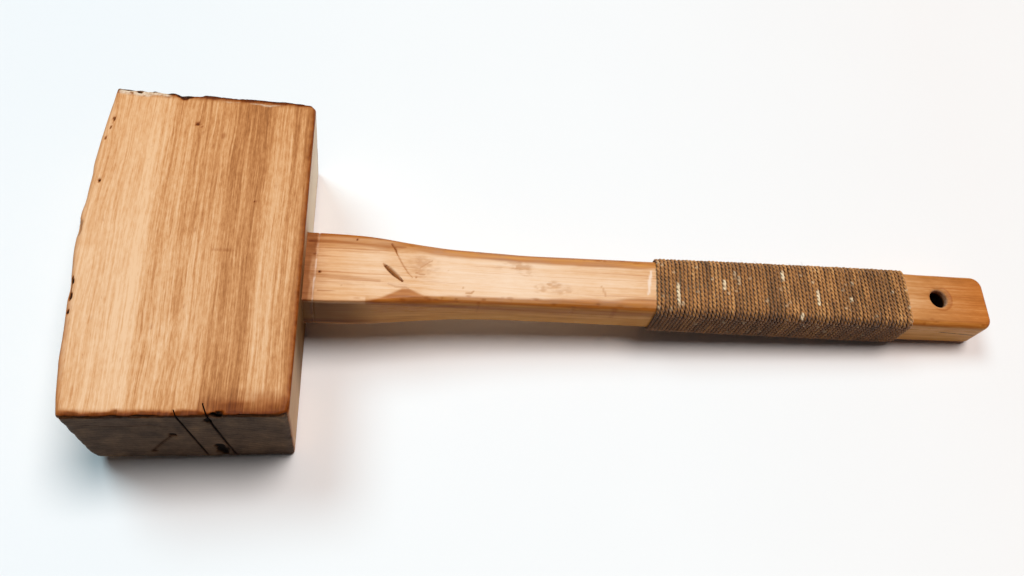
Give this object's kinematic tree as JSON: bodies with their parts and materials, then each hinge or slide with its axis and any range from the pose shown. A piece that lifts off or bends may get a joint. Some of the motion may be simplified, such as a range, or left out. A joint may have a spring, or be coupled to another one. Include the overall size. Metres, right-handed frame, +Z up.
{
  "type": "wooden mallet",
  "caption": "Joiner's mallet: a crowned rectangular wooden head on a shaped wooden handle, with a twine-wound grip and a hanging hole.",
  "frame": {"origin": "centre of the head's lower cheek, on the handle's centre line", "axes": "+X along the handle from the head to the grip end, +Y along the head's length, +Z up, square to the cheeks"},
  "size_m": [0.4422, 0.1578, 0.06],
  "materials": {
    "head_wood": "oiled bare wood, worn and dark at the edges and on the striking faces",
    "handle_wood": "oiled bare wood, polished by handling",
    "wedge_wood": "bare dark hardwood, cut off flush",
    "twine": "two-ply jute twine, darkened by handling"
  },
  "bodies": {
    "root": {"head": "head_wood", "handle": "handle_wood", "wedge_front": "wedge_wood", "wedge_rear": "wedge_wood", "grip_twine": "twine"}
  },
  "joints": []
}
